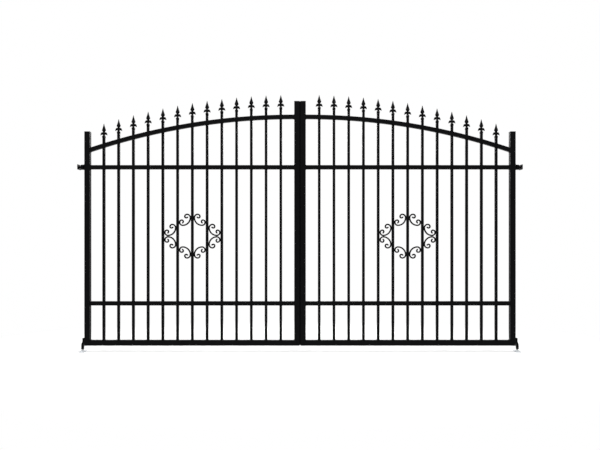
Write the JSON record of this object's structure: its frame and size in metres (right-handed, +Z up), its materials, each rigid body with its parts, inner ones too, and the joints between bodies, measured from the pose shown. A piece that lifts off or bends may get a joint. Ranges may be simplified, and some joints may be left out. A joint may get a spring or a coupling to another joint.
{
  "type": "arched double swing gate",
  "caption": "Arched double swing gate of black square steel tube, with spear-topped pickets, a ring of C-scrolls in each leaf, pinned top hinges and cranked foot pivots.",
  "frame": {"origin": "on the left hinge axis, at the centre of the underside of the left pivot seat, at ground level", "axes": "+X along the closed gate from the left hinge to the right, +Y the side both leaves open to, +Z up"},
  "size_m": [3.77, 0.09, 2.1848],
  "materials": {
    "black_paint": "satin black powder coat on steel tube",
    "black_plastic": "moulded black polyethylene",
    "zinc_plate": "bright zinc-plated steel",
    "pin_steel": "turned bare steel"
  },
  "bodies": {
    "hinge_fixings": {"left_hinge_bracket": "black_paint", "left_hinge_pin": "pin_steel", "left_pivot_seat": "zinc_plate", "right_hinge_bracket": "black_paint", "right_hinge_pin": "pin_steel", "right_pivot_seat": "zinc_plate"},
    "left_leaf": {"left_hinge_stile": "black_paint", "left_hinge_stile_cap": "black_plastic", "left_meeting_stile": "black_paint", "left_meeting_stile_cap": "black_plastic", "left_foot_plugs": "black_plastic", "left_bottom_rail": "black_paint", "left_lower_rail": "black_paint", "left_upper_rail": "black_paint", "left_arch_rail": "black_paint", "left_pickets": "black_paint", "left_finials": "black_paint", "left_scroll_ring": "black_paint", "left_hinge_lugs": "black_paint", "left_pivot_pin": "black_paint"},
    "right_leaf": {"right_hinge_stile": "black_paint", "right_hinge_stile_cap": "black_plastic", "right_meeting_stile": "black_paint", "right_meeting_stile_cap": "black_plastic", "right_foot_plugs": "black_plastic", "right_bottom_rail": "black_paint", "right_lower_rail": "black_paint", "right_upper_rail": "black_paint", "right_arch_rail": "black_paint", "right_pickets": "black_paint", "right_finials": "black_paint", "right_scroll_ring": "black_paint", "right_hinge_lugs": "black_paint", "right_pivot_pin": "black_paint"}
  },
  "joints": [
    {"name": "left_leaf_swing", "type": "hinge", "parent": "hinge_fixings", "child": "left_leaf", "pos_m": [0, 0, 0.1], "axis": [0, 0, 1], "range_deg": [0, 90]},
    {"name": "right_leaf_swing", "type": "hinge", "parent": "hinge_fixings", "child": "right_leaf", "pos_m": [3.7, 0, 0.1], "axis": [0, 0, -1], "range_deg": [0, 90]}
  ]
}
